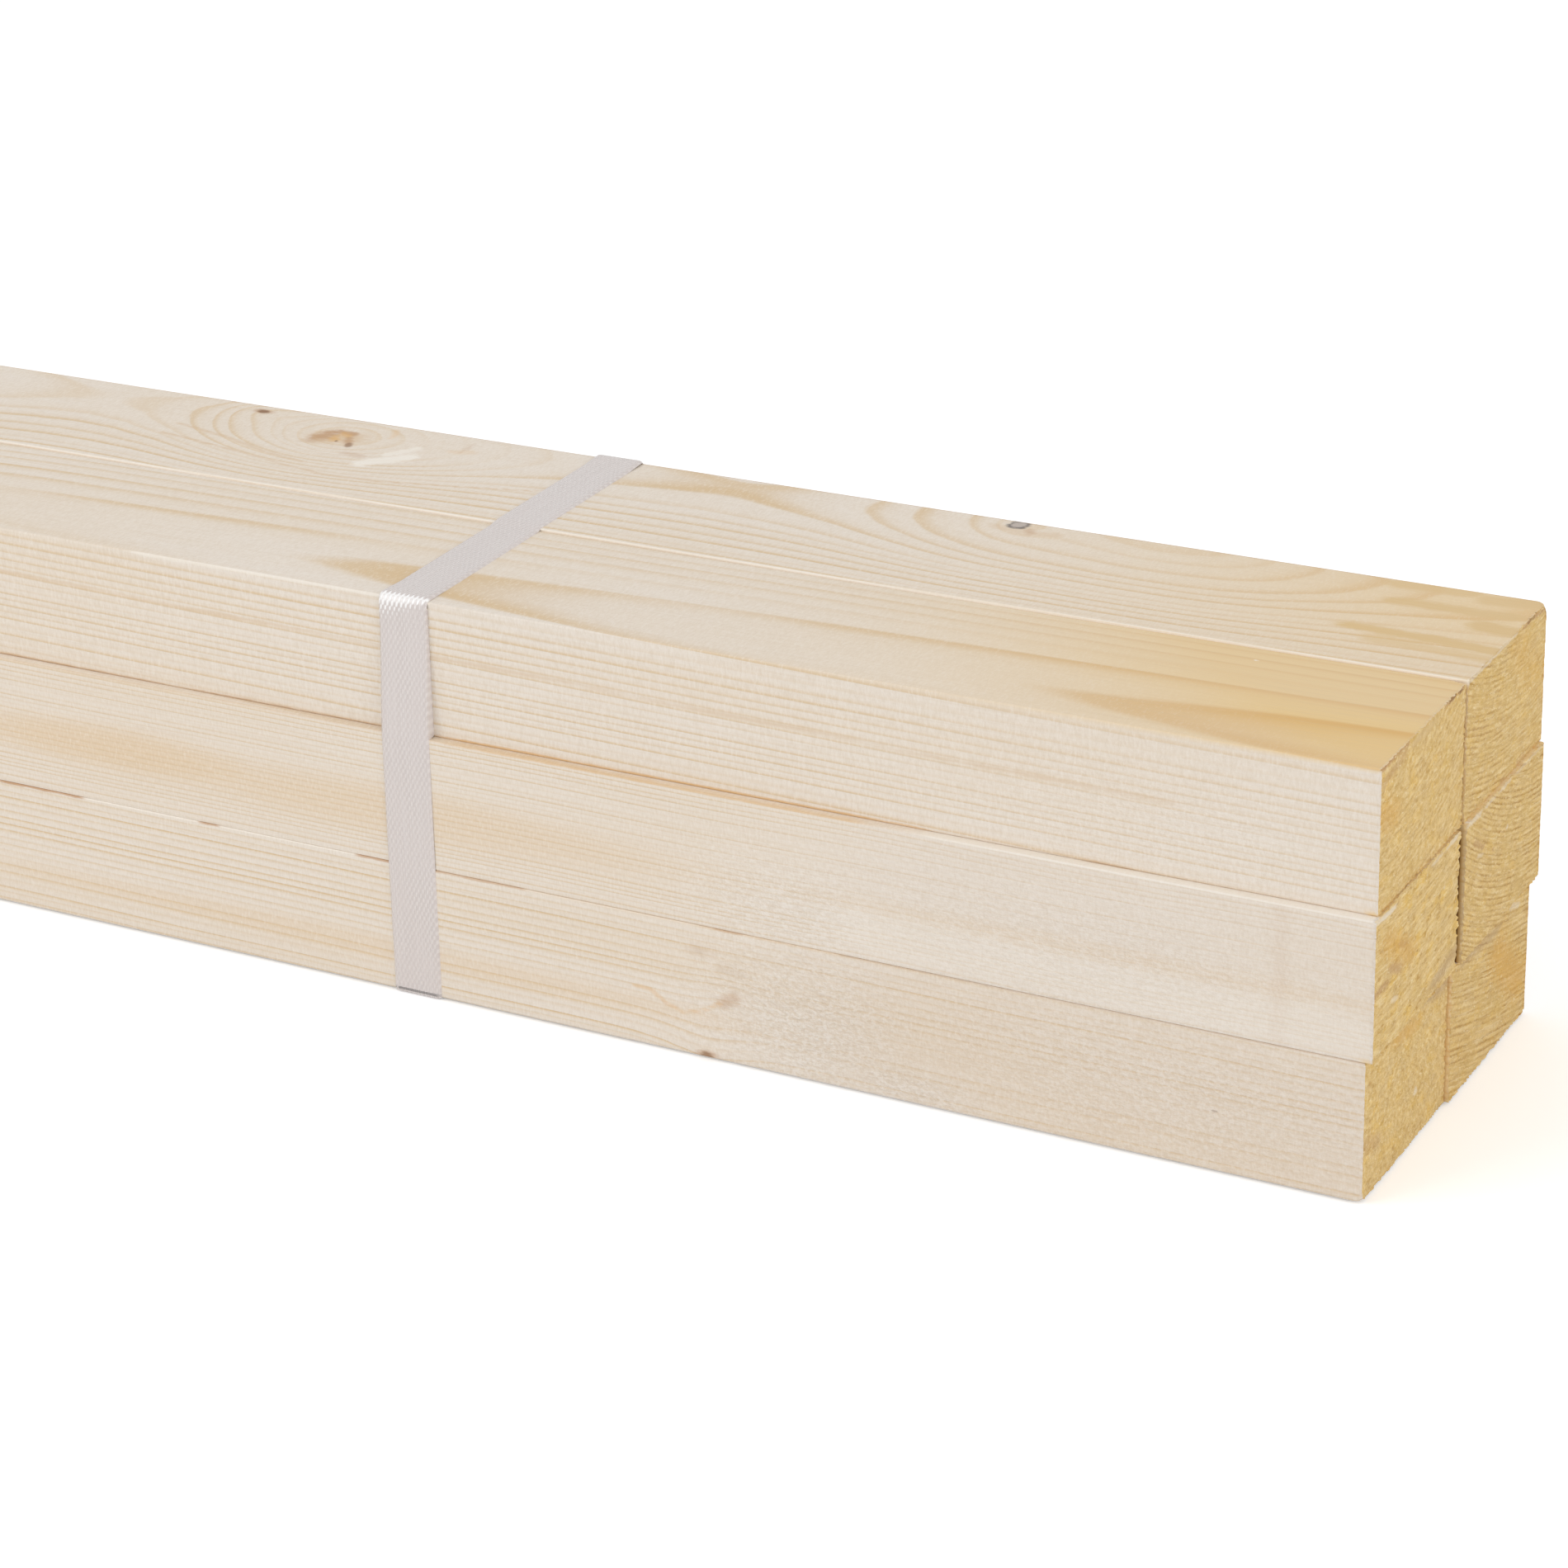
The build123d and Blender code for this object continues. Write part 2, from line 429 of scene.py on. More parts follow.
# Soft zones on the battens: what changes, the face, the middle, its two reaches and the strength
ZONES = {}
ZONES["batten_top_front"] = [
    ("accent", "top", 285, 15, 55, 22, 0.95),
    ("accent", "top", 40, 12, 75, 20, 0.9),
    ("accent", "top", 390, 33, 90, 4.5, 0.85),
    ("accent", "top", 160, 33, 70, 4.0, 0.8),
    ("accent", "front", 330, 25.5, 180, 1.6, 0.9),
    ("wool", "front", 60, 14, 60, 20, 0.35),
    ("calm", "front", 130, 20, 330, 70, 0.15),
    ("calm", "front", 40, 20, 120, 60, 0.35),
    ("calm", "top", 215, 54, 300, 12, 0.35),
    ("calm", "top", 205, 16, 40, 18, 0.6),
]
ZONES["batten_top_back"] = [
    ("accent", "top", 240, 46, 60, 9, 0.9),
    ("accent", "top", 230, 27, 110, 7, 0.55),
    ("calm", "top", 368, 45, 42, 20, 0.5),
    ("calm", "top", 332, 50, 34, 18, 0.9),
    ("calm", "top", 110, 44, 80, 18, 0.35),
    ("calm", "end", 48, 24, 18, 20, 0.8),
]
ZONES["batten_middle_front"] = [
    ("tint", "front", 390, 18, 60, 7, 0.5),
    ("tint", "front", 290, 16, 90, 8, 0.35),
    ("accent", "front", 340, 16, 150, 9, 0.75),
    ("accent", "front", 330, 29, 120, 3, 0.6),
    ("tint", "front", 70, 16, 90, 3, 0.2),
    ("calm", "front", 60, 20, 140, 60, 0.6),
    ("calm", "front", 320, 20, 160, 60, 0.25),
    ("wool", "front", 166, 10, 34, 18, 0.7),
    ("wool", "front", 80, 14, 90, 26, 0.6),
]
ZONES["batten_bottom_front"] = [
    ("wool", "front", 160, 16, 34, 26, 1.0),
    ("wool", "front", 132, 4, 30, 8, 0.9),
    ("wool", "front", 60, 20, 80, 30, 0.65),
    ("tint", "front", 300, 12, 140, 4, 0.3),
    # Painted shade: the front darkens towards the right end
    ("tint", "front", 20, 20, 130, 60, 0.12),
]

# How far under a face a point still counts as on it: not at all, and fully
FACE_DEPTH = (0.9, 0.1)

# Woolly stretches past the part that the photo shows
FAR_WOOL_WAVE, FAR_WOOL_FADE = 260, 80
FAR_WOOL_GAIN, FAR_WOOL_LOSS, FAR_WOOL_MOST = 0.5, 0.2, 0.6

# Golden tops: the run off the end, its bend, the share at the front and the rise across
GOLD_RUN, GOLD_BEND = (235, -50), 1.25
GOLD_FRONT, GOLD_RISE = 0.7, 0.6

# Golden rims of the hidden faces, off the end and behind the ledge of a lower batten
RIM_GOLD, RIM_RUN, LEDGE = 1.2, (5.0, 1.0), (1.5, 5.0)

# Shadow in the gap between two battens, below its lip and behind its mouth
DUSK_LIP, DUSK_DEPTH = 0.8, 3.0
DUSK_START, DUSK_FULL = 0.4, 1.6

# The sawn ends: their usual lines and torn, depth and cells of two noises, and how far late wood lies back
PLAIN_LINES, PLAIN_TORN = 1.0, 0.4
END_ROUGH = ((0.30, 1.3, 1.0), (0.25, 4.0, 2.5))
END_LATE = 0.12

# How far along a corner is worn, how far the fibres at an end's rim are broken back, and how far the middle
# front batten's stand into the gap
WORN_RUN = 4.0
RIM, OUTER_RIM, RIM_POWER = 0.6, 0.12, 1.4
TEETH, TEETH_POWER = 1.4, 2

# How far the top front batten's upper back edge is drawn towards its neighbour, and over which part of it
DRAWN, DRAWN_ACROSS = 0.78, 1.5
DRAWN_LOW, DRAWN_HIGH, DRAWN_RUN = 8, 2, (1, 5)


def lattice(a, b, cell_a, cell_b, draw):
    """Smooth seeded noise from 0 to 1 over two coordinates, with cells of those sizes."""
    a, b = a / cell_a, b / cell_b
    a, b = a - a.min(), b - b.min()
    values = draw.uniform(size=(int(a.max()) + 2, int(b.max()) + 2))
    i, j = a.astype(int), b.astype(int)
    s, t = step(a - i, 0, 1), step(b - j, 0, 1)
    near = values[i, j] * (1 - t) + values[i, j + 1] * t
    far = values[i + 1, j] * (1 - t) + values[i + 1, j + 1] * t
    return near * (1 - s) + far * s


def ring_radii(spec, reach, draw):
    """Radii of a batten's ring edges, from the fixed ones outwards and inwards."""
    radii = list(spec.get("first", ())) or [reach[0]]
    while radii[-1] < reach[1]:
        radii.append(radii[-1] + spec["ring"] * draw.uniform(*RING_SPREAD))
    while radii[0] > reach[0]:
        radii.insert(0, radii[0] - spec["ring"] * INNER_RING * draw.uniform(*INNER_SPREAD))
    return np.array(radii)


def growth(spec, u, v, w, draw):
    """How many rings out from the log's middle each point lies."""
    pith_v, pith_w = spec["pith"]
    middle = NEAR_REACH / 2
    far = step(u, NEAR_REACH, NEAR_REACH + FAR_FADE)
    pith_v = pith_v + spec.get("drift", 0.0) * np.clip(u - middle, -middle, middle)
    pith_v = pith_v + PITH_SWING * far * wander(u, PITH_WAVE, draw)
    radius = np.hypot(v - pith_v, w - pith_w) + spec.get("slope", 0.0) * u
    places, lifts = np.transpose(spec.get("sway", NO_SWAY))
    base, tilt = spec.get("sway_tilt", NO_TILT)
    rows = np.linspace(0, u.max(), SWAY_ROWS)
    lifts = np.pad(np.interp(rows, places, lifts), SWAY_SMOOTH // 2, mode="edge")
    smooth = np.convolve(lifts, np.full(SWAY_SMOOTH, 1 / SWAY_SMOOTH), "valid")
    radius = radius + np.interp(u, rows, smooth) * (base + tilt * v)
    radius = radius + far * RING_SWING * wander(u, RING_WAVE, draw)
    radius = radius + spec["wobble"] * wander(u, WOBBLE_WAVE, draw)
    for at_u, at_v, at_w, lift, reach_u, reach in spec.get("knots", ()):
        away = ((u - at_u) / reach_u) ** 2 + ((v - at_v) ** 2 + (w - at_w) ** 2) / reach ** 2
        radius = radius - lift * np.exp(-away / 2)
    radii = ring_radii(spec, (radius.min() - RING_MARGIN, radius.max() + RING_MARGIN), draw)
    return np.interp(radius, radii, np.arange(len(radii)))


def stations(length, busy):
    """Distances from the right end at which a batten has a section, closest where there is most to see."""
    left, last = length - LEFT_RUN, length - END_RUN
    zones = [
        (0, END_RUN, END_STEP), (END_RUN, NEAR_REACH, NEAR_STEP), (NEAR_REACH, left, FAR_STEP),
        (left, last, LEFT_STEP), (last, length, END_STEP),
    ]
    zones += [(low - BUSY_MARGIN, high + BUSY_MARGIN, BUSY_STEP) for low, high in busy]
    kept = [0.0]
    for place in np.unique(np.concatenate([np.arange(*zone) for zone in zones])):
        if kept[-1] + CLOSEST < place < length - CLOSEST:
            kept.append(place)
    return np.array(kept + [length])


def section(width, height):
    """A batten's outline from its front's foot round by the top, where its runs start, and its grid lines."""
    v = np.linspace(ARRIS, width - ARRIS, ACROSS + 1)
    w = np.linspace(ARRIS, height - ARRIS, UPRIGHT + 1)
    turn = np.linspace(0, math.pi / 2, CORNER + 1)[1:-1]
    near, far, low, high = ARRIS, width - ARRIS, ARRIS, height - ARRIS
    sine, cosine = ARRIS * np.sin(turn), ARRIS * np.cos(turn)
    runs = [
        (0 * w, w), (near - cosine, high + sine), (v, 0 * v + height), (far + sine, high + cosine),
        (0 * w + width, w[::-1]), (far + cosine, low - sine), (v[::-1], 0 * v), (near - sine, low - cosine),
    ]
    outline = np.concatenate([np.column_stack(run) for run in runs])
    starts = np.cumsum([0] + [len(run[0]) for run in runs])
    return outline, starts, v, w


def batten_shape(length, width, height, busy):
    """Vertices as (u, v, w), side faces and end faces of a batten."""
    outline, starts, v, w = section(width, height)
    along = stations(length, busy)
    count = len(outline)
    points = [np.column_stack([np.full(count, u), outline]) for u in along]
    sides = []
    for s in range(len(along) - 1):
        for p in range(count):
            q = (p + 1) % count
            sides.append((s * count + p, s * count + q, (s + 1) * count + q, (s + 1) * count + p))
    ends = []
    total = count * len(along)
    for loop, u in ((0, 0.0), (count * (len(along) - 1), length)):
        points.append(np.array([(u, a, b) for a in v for b in w]))
        inner = total + np.arange(len(v) * len(w)).reshape(len(v), len(w))
        total += inner.size
        for i in range(len(v) - 1):
            for j in range(len(w) - 1):
                ends.append((inner[i, j], inner[i + 1, j], inner[i + 1, j + 1], inner[i, j + 1]))
        front, over, back, under = (loop + starts[k] for k in (0, 2, 4, 6))
        for j in range(len(w) - 1):
            ends.append((front + j, inner[0, j], inner[0, j + 1], front + j + 1))
            ends.append((back + j, inner[-1, -1 - j], inner[-1, -2 - j], back + j + 1))
        for i in range(len(v) - 1):
            ends.append((over + i, inner[i, -1], inner[i + 1, -1], over + i + 1))
            ends.append((under + i, inner[-1 - i, 0], inner[-2 - i, 0], under + i + 1))
        for k, centre in ((1, inner[0, -1]), (3, inner[-1, -1]), (5, inner[-1, 0]), (7, inner[0, 0])):
            arc = [loop + (starts[k] - 1 + n) % count for n in range(CORNER + 1)]
            ends += [(arc[n], arc[n + 1], centre) for n in range(CORNER)]
    return np.concatenate(points), sides, ends


def batten_mesh(node, length, width, height):
    """A batten's mesh, still as (u, v, w), with its ends cut finer and given the second material."""
    busy = []
    for face in ("top", "front", "under"):
        for _, _, _, amount, *line in MARKS.get((node, face), ()):
            places = [place for place, _ in line]
            if amount > BUSY_AMOUNT and max(places) - min(places) < BUSY_RUN:
                busy.append((min(places), max(places)))
    points, sides, ends = batten_shape(length, width, height, busy)
    mesh = bpy.data.meshes.new(node + "_wood")
    mesh.from_pydata(points.tolist(), [], sides + ends)
    work = bmesh.new()
    work.from_mesh(mesh)
    work.faces.ensure_lookup_table()
    for face in work.faces[len(sides):]:
        face.material_index = 1
    edges = {edge for face in work.faces[len(sides):] for edge in face.edges}
    bmesh.ops.subdivide_edges(work, edges=list(edges), cuts=END_CUTS, use_grid_fill=True)
    bmesh.ops.recalc_face_normals(work, faces=work.faces)
    work.to_mesh(mesh)
    work.free()
    return mesh


def set_field(mesh, name, values):
    field = mesh.attributes.new(name, "FLOAT", "POINT")
    field.data.foreach_set("value", np.ascontiguousarray(values, np.float32))


def off_line(a, b, points):
    """How far the points (a, b) are from a line of points."""
    found = np.full(a.shape, np.inf)
    for (a0, b0), (a1, b1) in zip(points, points[1:] or points):
        run = max((a1 - a0) ** 2 + (b1 - b0) ** 2, 1e-9)
        t = np.clip(((a - a0) * (a1 - a0) + (b - b0) * (b1 - b0)) / run, 0, 1)
        found = np.minimum(found, np.hypot(a - a0 - t * (a1 - a0), b - b0 - t * (b1 - b0)))
    return found


def mark_fields(node, faces, on):
    """For each kind of mark, how many half widths off the nearest one is, and how strong it is."""
    fields = {}
    for kind in SHADES:
        fields[kind + "_reach"] = np.full(on["top"].shape, NOWHERE)
        fields[kind + "_force"] = np.zeros(on["top"].shape)
    for face, (a, b, _) in faces.items():
        for kind, half_a, half_b, amount, *line in MARKS.get((node, face), ()):
            away = off_line(a / half_a, b / half_b, [(p / half_a, q / half_b) for p, q in line])
            closer = (on[face] > 0) & (away < fields[kind + "_reach"])
            fields[kind + "_reach"][closer] = away[closer]
            fields[kind + "_force"][closer] = amount
    return fields


def zone_fields(node, low, high, faces, on, draw):
    """How accented, woolly, tinted, calm, golden and dusky each point is; one broad tint is a painted shade
    and dusk a painted shadow.
    """
    length, width, height = high - low
    spec = BATTENS[node]
    u, v, _ = faces["under"]
    off_end = np.minimum(u, length - u)
    fields = {name: np.zeros(u.shape) for name in ("accent", "wool", "tint", "calm")}
    for name, face, at_a, at_b, reach_a, reach_b, amount in ZONES.get(node, ()):
        away = ((faces[face][0] - at_a) / reach_a) ** 2 + ((faces[face][1] - at_b) / reach_b) ** 2
        fall = away if name == "wool" else away ** 2
        fields[name] = np.maximum(fields[name], amount * np.exp(-fall) * on[face])
    far_wool = np.clip(wander(u, FAR_WOOL_WAVE, draw) * FAR_WOOL_GAIN - FAR_WOOL_LOSS, 0, FAR_WOOL_MOST)
    far_wool = far_wool * step(u, NEAR_REACH, NEAR_REACH + FAR_WOOL_FADE)
    fields["wool"] = np.maximum(fields["wool"], far_wool * np.maximum(on["front"], on["back"]))
    gold = on["top"] * step(off_end, *GOLD_RUN) ** GOLD_BEND
    gold = gold * (GOLD_FRONT + GOLD_RISE * v / width) * spec.get("golden", 0.0)

    inner, outer = ("front", "back") if node.endswith("back") else ("back", "front")
    facing = node.replace(outer, inner)
    proud = max(0.0, high[0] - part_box(facing)[1].x / MM)
    hidden = step(off_end, proud - DUSK_START, proud + DUSK_FULL)
    fields["dusk"] = on[inner] * step(faces[inner][1], height - DUSK_LIP, height - DUSK_DEPTH) * hidden
    bedded = [face for face, free in (("top", "_top_"), ("under", "_bottom_")) if free not in node]
    for face in bedded + [inner]:
        ledge = step(v, *LEDGE) if face == "top" else 1.0
        gold = np.maximum(gold, RIM_GOLD * (on[face] * step(off_end, *RIM_RUN) * ledge))
    fields["gold"] = gold

    is_end = off_end < TOUCH
    quiet = np.maximum(fields["calm"], 1 - spec.get("lines", PLAIN_LINES))
    fields["calm"] = np.where(is_end, quiet, fields["calm"])
    fields["wool"] = np.where(is_end, spec.get("torn", PLAIN_TORN), fields["wool"])
    return fields


def wear(worn, u, v, w, width, height):
    """Rounds one long edge of a batten towards its right end."""
    at_back, at_top, most = worn
    reach = most * (1 - np.sqrt(1 - np.clip(1 - u / WORN_RUN, 0, 1) ** 2))
    a = (width - v if at_back else v) - reach
    b = (height - w if at_top else w) - reach
    away = np.hypot(a, b)
    pull = np.where((a < 0) & (b < 0) & (away > reach), reach / np.maximum(away, 1e-6), 1)
    a, b = a * pull + reach, b * pull + reach
    return (width - a if at_back else a), (height - b if at_top else b)


def roughen(node, size, u, v, w, rings, draw):
    """Breaks a batten's sawn ends back, wears its corner and draws its fibres or edge into the gap."""
    length, width, height = size
    off_end = np.minimum(u, length - u)
    is_end = off_end < TOUCH
    at_edge = np.minimum(np.minimum(v, width - v), np.minimum(w, height - w)) < TOUCH
    fuzz = sum(depth * lattice(v, w, *cells, draw) for depth, *cells in END_ROUGH)
    fuzz = fuzz + END_LATE * (rings % 1) ** 2
    outside = (v > width - TOUCH) if node.endswith("back") else (v < TOUCH)
    broken = np.where(outside, OUTER_RIM, RIM) * draw.uniform(size=u.shape) ** RIM_POWER
    inward = np.where(is_end, np.where(at_edge, broken, fuzz), 0)
    if "worn" in BATTENS[node]:
        v, w = wear(BATTENS[node]["worn"], u, v, w, width, height)
    if node == "batten_top_front":
        drawn = step(v, width - DRAWN_ACROSS, width - ARRIS)
        drawn = drawn * step(w, height - DRAWN_LOW, height - DRAWN_HIGH) * step(off_end, *DRAWN_RUN)
        v = v + DRAWN * drawn
    if node == "batten_middle_front":
        teeth = TEETH * draw.uniform(size=u.shape) ** TEETH_POWER
        v = v + np.where(is_end & (v > width - TOUCH), teeth, 0)
    return u + np.where(u < length / 2, inward, -inward), v, w


def make_batten(number, node, materials):
    """One batten: a sawn and planed stick with its rings, knots and worn zones."""
    low, high = (np.array(corner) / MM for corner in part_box(node))
    length, width, height = high - low
    spec = BATTENS[node]
    draw = np.random.default_rng(SEED + number)
    mesh = batten_mesh(node, length, width, height)
    place = np.zeros(len(mesh.vertices) * 3)
    mesh.vertices.foreach_get("co", place)
    u, v, w = place.reshape(-1, 3).T
    faces = {
        "top": (u, v, height - w), "under": (u, v, w), "front": (u, w, v), "back": (u, w, width - v),
        "end": (v, w, u),
    }
    on = {name: step(depth, *FACE_DEPTH) for name, (_, _, depth) in faces.items()}

    rings = growth(spec, u, v, w, draw)
    turn = np.arctan2(v - spec["pith"][0], np.abs(w - spec["pith"][1]))
    fields = {"growth": rings + RINGS_APART * number, "round": turn * spec["ring"] * ROUND_SCALE}
    fields.update(mark_fields(node, faces, on))
    fields.update(zone_fields(node, low, high, faces, on, draw))
    for name, values in fields.items():
        set_field(mesh, name, values)

    u, v, w = roughen(node, high - low, u, v, w, rings, draw)
    placed = np.column_stack([high[0] - u, low[1] + v, low[2] + w]) * MM
    mesh.vertices.foreach_set("co", placed.ravel())
    mesh.flip_normals()
    mesh.update()
    piece = add_object(node + "_wood", mesh)
    for material in materials:
        mesh.materials.append(material)
    mesh.shade_smooth()
    mesh.set_sharp_from_angle(angle=BATTEN_SHARP)
    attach(piece, "root")
    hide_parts(node)


def add_marks(g, colour, warp):
    """Knots, stains, painted sheen, highlights and shade over a colour, with edges made ragged by warp."""
    for kind, shade in SHADES.items():
        away, amount = g.field(kind + "_reach"), g.field(kind + "_force")
        share = g.spread(g.math("ADD", away, warp), MARK_EDGE, CRISP.get(kind, SOFT))
        colour = g.mix(g.math("MULTIPLY", share, amount), colour, linear(*shade))
    return colour


def wood_face():
    """Planed softwood: pale early wood, tan late wood, fibres, woolly zones, knots and a golden end."""
    g = Graph(bpy.data.materials.new("softwood_face"))
    place = g.place()
    names = ("gold", "wool", "tint", "calm", "accent", "dusk", "growth")
    gold, wool, tint, calm, accent, dusk, rings = (g.field(name) for name in names)

    drift = g.noise(place, (0.012, 0.14, 0.14), 1.0)
    rings = g.math("MULTIPLY_ADD", g.math("SUBTRACT", drift, 0.5), 0.12, rings)
    late = g.ramp(g.math("FRACT", rings), FACE_RING)
    strong = g.math("MAXIMUM", g.each_ring(rings, 0.25, 0.95), accent)
    quiet = g.math("MAXIMUM", calm, g.math("MULTIPLY", wool, 0.6))
    late = g.math("MULTIPLY", late, g.math("MULTIPLY", strong, g.math("SUBTRACT", 1.0, quiet)))
    fibre = g.noise(place, (0.02, 1.5, 1.5), 3.0, 0.6)
    stroke = g.noise(place, (0.35, 2.6, 2.6), 3.0, 0.65)
    fleck = g.noise(place, (1.5, 0.5, 0.5), 3.0, 0.7)
    tear = g.noise(place, (0.7, 1.2, 1.2), 3.0, 0.65)
    cloud = g.noise(place, (0.006, 0.03, 0.03), 2.0)
    ragged = g.noise(place, (0.12, 0.35, 0.35), 3.0, 0.6)

    fresh, aged = (g.mix(late, linear(*early), linear(*dark)) for early, dark in (FRESH, AGED))
    colour = g.mix(gold, fresh, aged)
    colour = g.over(colour, (227, 209, 184), 0.3, cloud, 0.35, 0.7)
    colour = g.mix(tint, colour, linear(*TINT))
    unaged = g.math("SUBTRACT", 1.0, g.math("MULTIPLY", gold, 0.9), clamp=True)
    for layer in (
        ((216, 194, 164), 0.2, fibre, 0.45, 0.75),
        ((242, 234, 224), 0.3, fleck, 0.5, 0.66, unaged),
        ((208, 190, 166), 0.2, fleck, 0.5, 0.34, unaged),
        ((243, 236, 228), 0.7, tear, 0.46, 0.64, wool),
        ((208, 188, 168), 0.2, tear, 0.47, 0.36, wool),
    ):
        colour = g.over(colour, *layer)
    warp = g.math("SUBTRACT", ragged, 0.5)
    warp = g.math("MULTIPLY_ADD", g.math("SUBTRACT", stroke, 0.5), 0.8, warp)
    colour = add_marks(g, colour, warp)
    colour = g.mix(dusk, colour, linear(*DUSK))
    colour = g.over(colour, DEEP, 1.0, dusk, 0.5, 0.95)

    relief = g.math("MULTIPLY_ADD", late, 0.35, g.math("MULTIPLY", fibre, 0.4))
    relief = g.math("MULTIPLY_ADD", g.math("MULTIPLY", tear, wool), 4.8, relief)
    rough = g.spread(fibre, 0.3, 0.7, 0.52, 0.66)
    normal = g.bump(relief, 0.12)
    return g.surface(Base_Color=colour, Roughness=rough, Specular_IOR_Level=0.3, Normal=normal)


def wood_end():
    """Sawn end grain: golden, with torn rings and tufts of fibre."""
    g = Graph(bpy.data.materials.new("softwood_end"))
    place = g.place()
    rings, calm, around, ripped = (g.field(name) for name in ("growth", "calm", "round", "wool"))
    wobble = g.noise(place, (0.0, 0.7, 0.7), 3.0)
    rings = g.math("MULTIPLY_ADD", g.math("SUBTRACT", wobble, 0.5), 0.5, rings)
    patch = g.noise(place, (0.0, 0.1, 0.1), 3.0)
    late = g.ramp(g.math("FRACT", rings), END_RING)
    late = g.math("MULTIPLY", late, g.each_ring(rings, 0.5, 1.0))
    late = g.math("MULTIPLY", late, g.spread(patch, 0.66, 0.4, 0.4, 1.0))
    late = g.math("MULTIPLY", late, g.math("SUBTRACT", 1.0, calm))
    along = g.node("CombineXYZ", {0: g.math("MULTIPLY", rings, 2.2), 1: around}).outputs[0]
    torn = g.noise(along, (0.8, 0.2, 0.0), 4.0, 0.7)
    tuft = g.noise(place, (0.0, 0.8, 1.3), 4.0, 0.75)
    chunk = g.noise(place, (0.0, 0.22, 0.5), 4.0, 0.7)
    glow = g.noise(place, (0.0, 0.12, 0.2), 2.0, 0.6, shift=(0.0, 40.0, 0.0))

    colour = g.mix(late, *(linear(*shade) for shade in SAWN))
    for layer in (
        ((235, 194, 104), 0.7, glow, 0.5, 0.7, g.math("ADD", ripped, 0.15)),
        ((214, 184, 132), 0.5, glow, 0.48, 0.32),
        ((214, 180, 114), 0.5, patch, 0.42, 0.7),
        ((246, 222, 172), 0.7, torn, 0.48, 0.7),
        ((192, 152, 88), 0.6, torn, 0.5, 0.3),
        ((248, 222, 164), 0.8, chunk, 0.54, 0.68, ripped),
        ((188, 144, 74), 0.8, chunk, 0.46, 0.32, ripped),
        ((250, 234, 196), 0.8, tuft, 0.55, 0.7),
        ((186, 146, 84), 0.65, tuft, 0.45, 0.28),
    ):
        colour = g.over(colour, *layer)
    colour = add_marks(g, colour, g.math("MULTIPLY", g.math("SUBTRACT", tuft, 0.5), 2.2))
    relief = g.math("MULTIPLY_ADD", late, -0.25, g.math("MULTIPLY_ADD", tuft, 1.4, torn))
    normal = g.bump(relief, 0.35)
    return g.surface(Base_Color=colour, Roughness=0.85, Specular_IOR_Level=0.15, Normal=normal)


wood = [wood_face(), wood_end()]
for number, node in enumerate(BATTENS):
    make_batten(number, node, wood)


# Straps: thickness and distance off the battens, as in the CAD
STRAP_THICKNESS = 0.7
STRAP_CLEARANCE = 0.05

# Their mesh: points along and across, points round a bend, sharp angle, and when a run counts as flat
STRAP_POINT = 0.8
STRAP_ACROSS = 24
STRAP_BEND = 8
STRAP_SHARP = math.radians(60)
FLAT = 0.9

# Their set: thinned edges, a wider underside, lean across and down, wide bends over the top edges with the
# lift beside them, and where the band comes down from the higher back batten to the front one
STRAP_EDGE, EDGE_RUN = 0.9, 1.2
UNDER_SHARE = 1.01
STRAP_LEAN = (-1.5, 2.4)
BEND, BEND_RUN, BEND_UP = 1.8, 9.0, 0.3
DIP_BACK, DIP_FRONT = 2.5, 3.0

# The welded lap: its share of the batten's height, of the strap's width and of its thickness
LAP_SHARE, LAP_WIDTH, LAP_LIFT = 0.8, 0.98, 0.8

# The plastic in and on the embossing, darker in its hollows as painted shade, the embossing, and the white
# highlight painted over a bend
PLASTIC = ((204, 194, 190), (219, 211, 207))
EMBOSS_PITCH, EMBOSS_DEPTH = (1.5, 2.8), 0.1
HIGHLIGHT_RUN, HIGHLIGHT_START, HIGHLIGHT_FULL = (0.8, 8.0), -1.4, -0.3


def hull(points):
    """Corners of the smallest outline round some points, counter-clockwise."""
    points = sorted(set(points))
    chains = []
    for run in (points, points[::-1]):
        chain = []
        for p in run:
            while len(chain) > 1 and ((chain[-1][0] - chain[-2][0]) * (p[1] - chain[-2][1])
                                      <= (chain[-1][1] - chain[-2][1]) * (p[0] - chain[-2][0])):
                chain.pop()
            chain.append(p)
        chains += chain[:-1]
    return np.array(chains)


